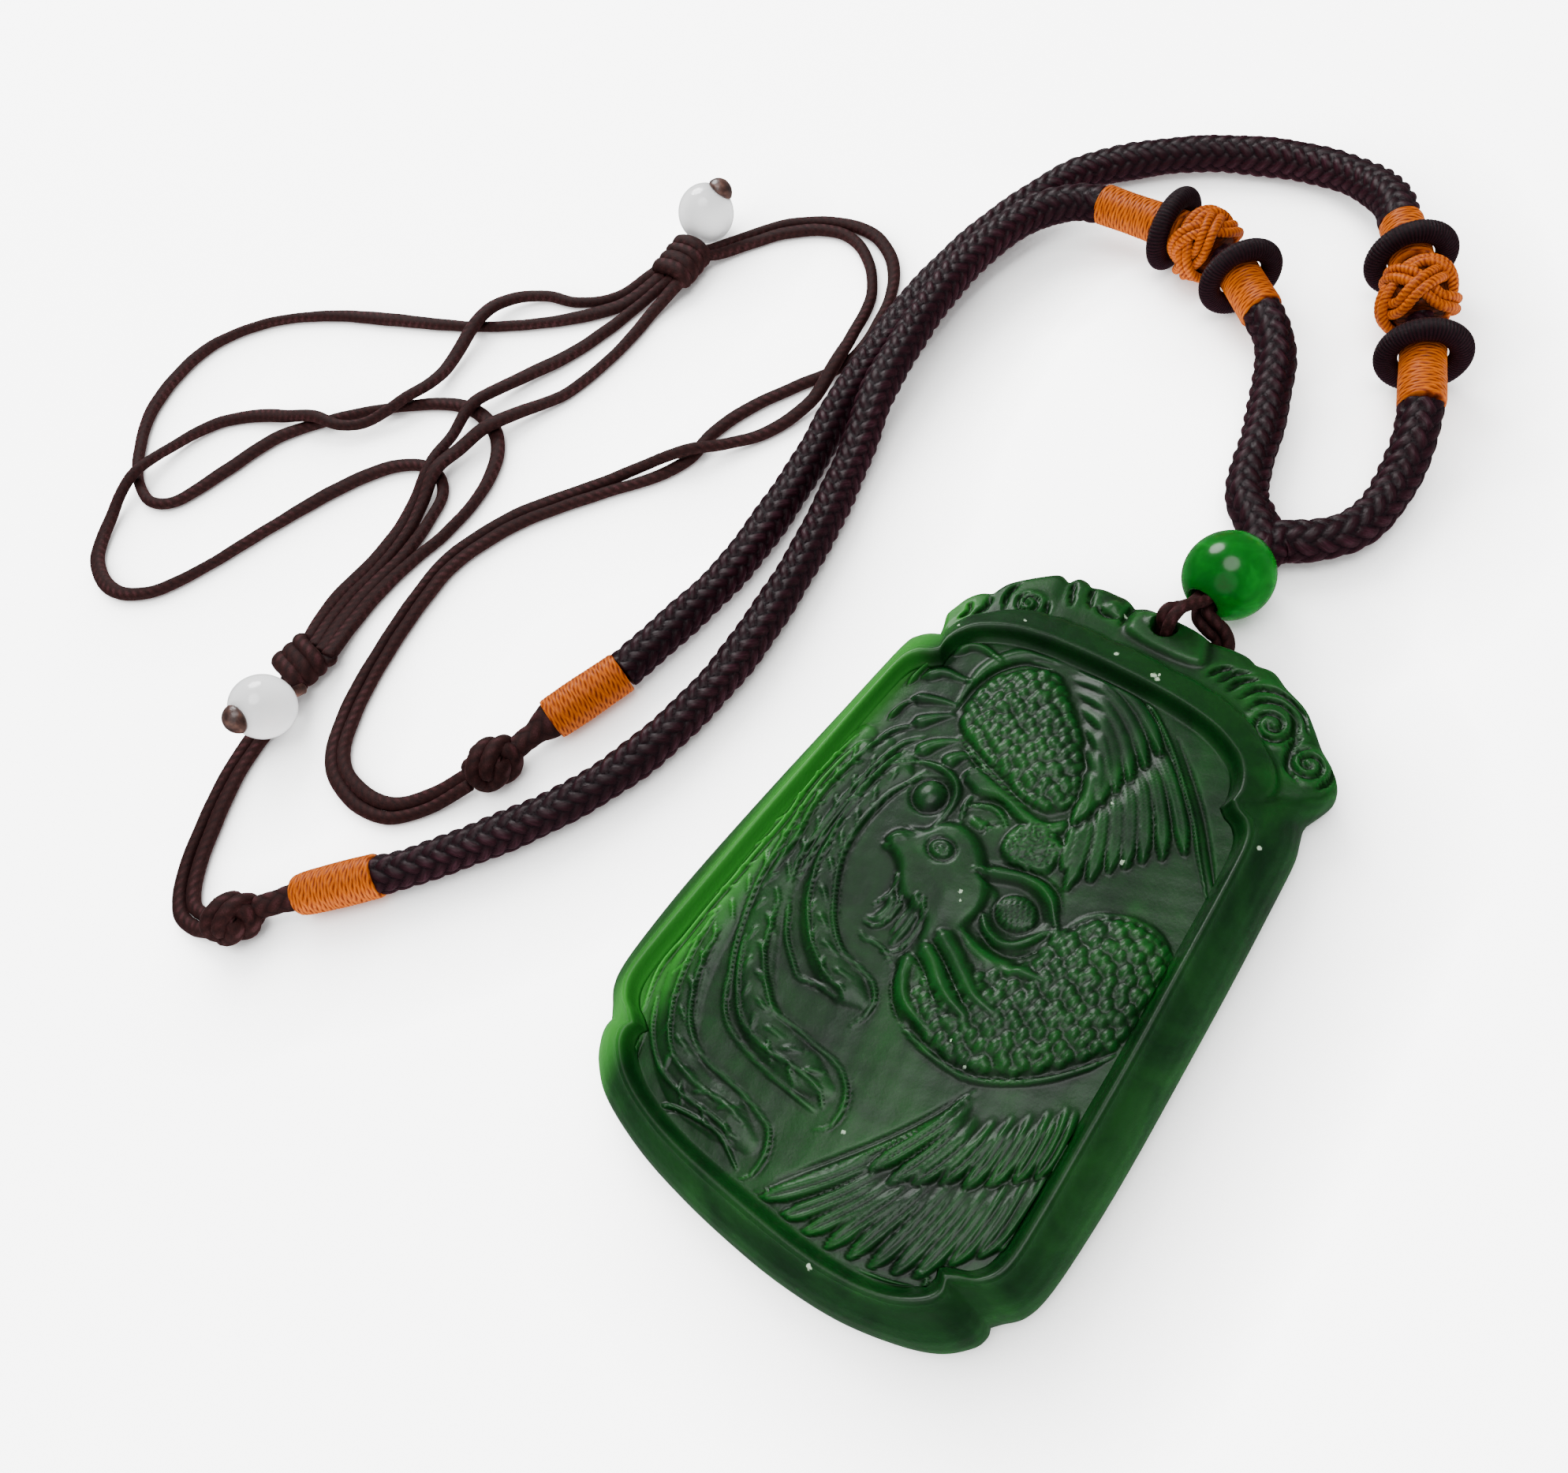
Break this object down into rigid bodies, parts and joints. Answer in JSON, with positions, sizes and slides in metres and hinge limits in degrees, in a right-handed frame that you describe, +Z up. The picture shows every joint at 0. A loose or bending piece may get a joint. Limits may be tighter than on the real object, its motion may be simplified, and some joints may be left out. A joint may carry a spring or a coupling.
{
  "type": "carved jade pendant necklace",
  "caption": "Flat carved jade plaque with a raised rim and a phoenix in relief, on a braided cord with bound thread, knots and beads.",
  "frame": {"origin": "middle of the plaque's flat back, on the surface that it lies on", "axes": "+X across the plaque, +Y along the plaque from its foot to the scrolls and the hole, +Z up out of the carved face"},
  "size_m": [0.1891, 0.167, 0.0107],
  "materials": {
    "jade": "polished dark green jade, slightly translucent at the thin edges",
    "green_glass": "polished saturated green bead",
    "white_glass": "milky white polished bead",
    "braid": "tight round braid of waxed dark brown cord",
    "amber_thread": "silky amber thread, wound or woven",
    "strand": "thin waxed maroon-brown cord"
  },
  "bodies": {
    "root": {"plaque": "jade", "green_bead": "green_glass", "bail_loop": "strand", "left_front_arm": "braid", "left_core": "braid", "left_neck_cord": "braid", "left_lower_ring": "braid", "left_upper_ring": "braid", "left_lower_wrap": "amber_thread", "left_button_knot": "amber_thread", "left_upper_wrap": "amber_thread", "left_end_wrap": "amber_thread", "left_end_neck": "strand", "left_end_knot": "strand", "right_front_arm": "braid", "right_core": "braid", "right_neck_cord": "braid", "right_lower_ring": "braid", "right_upper_ring": "braid", "right_lower_wrap": "amber_thread", "right_button_knot": "amber_thread", "right_upper_wrap": "amber_thread", "right_end_wrap": "amber_thread", "right_end_neck": "strand", "right_end_knot": "strand", "run_a_1": "strand", "run_a_2": "strand", "run_b_1": "strand", "run_b_2": "strand", "loop_1": "strand", "loop_2": "strand", "direct_1": "strand", "direct_2": "strand", "slide_knot_1": "strand", "slide_knot_2": "strand", "tip_1": "strand", "tip_2": "strand", "white_bead_1": "white_glass", "white_bead_2": "white_glass"}
  },
  "joints": []
}
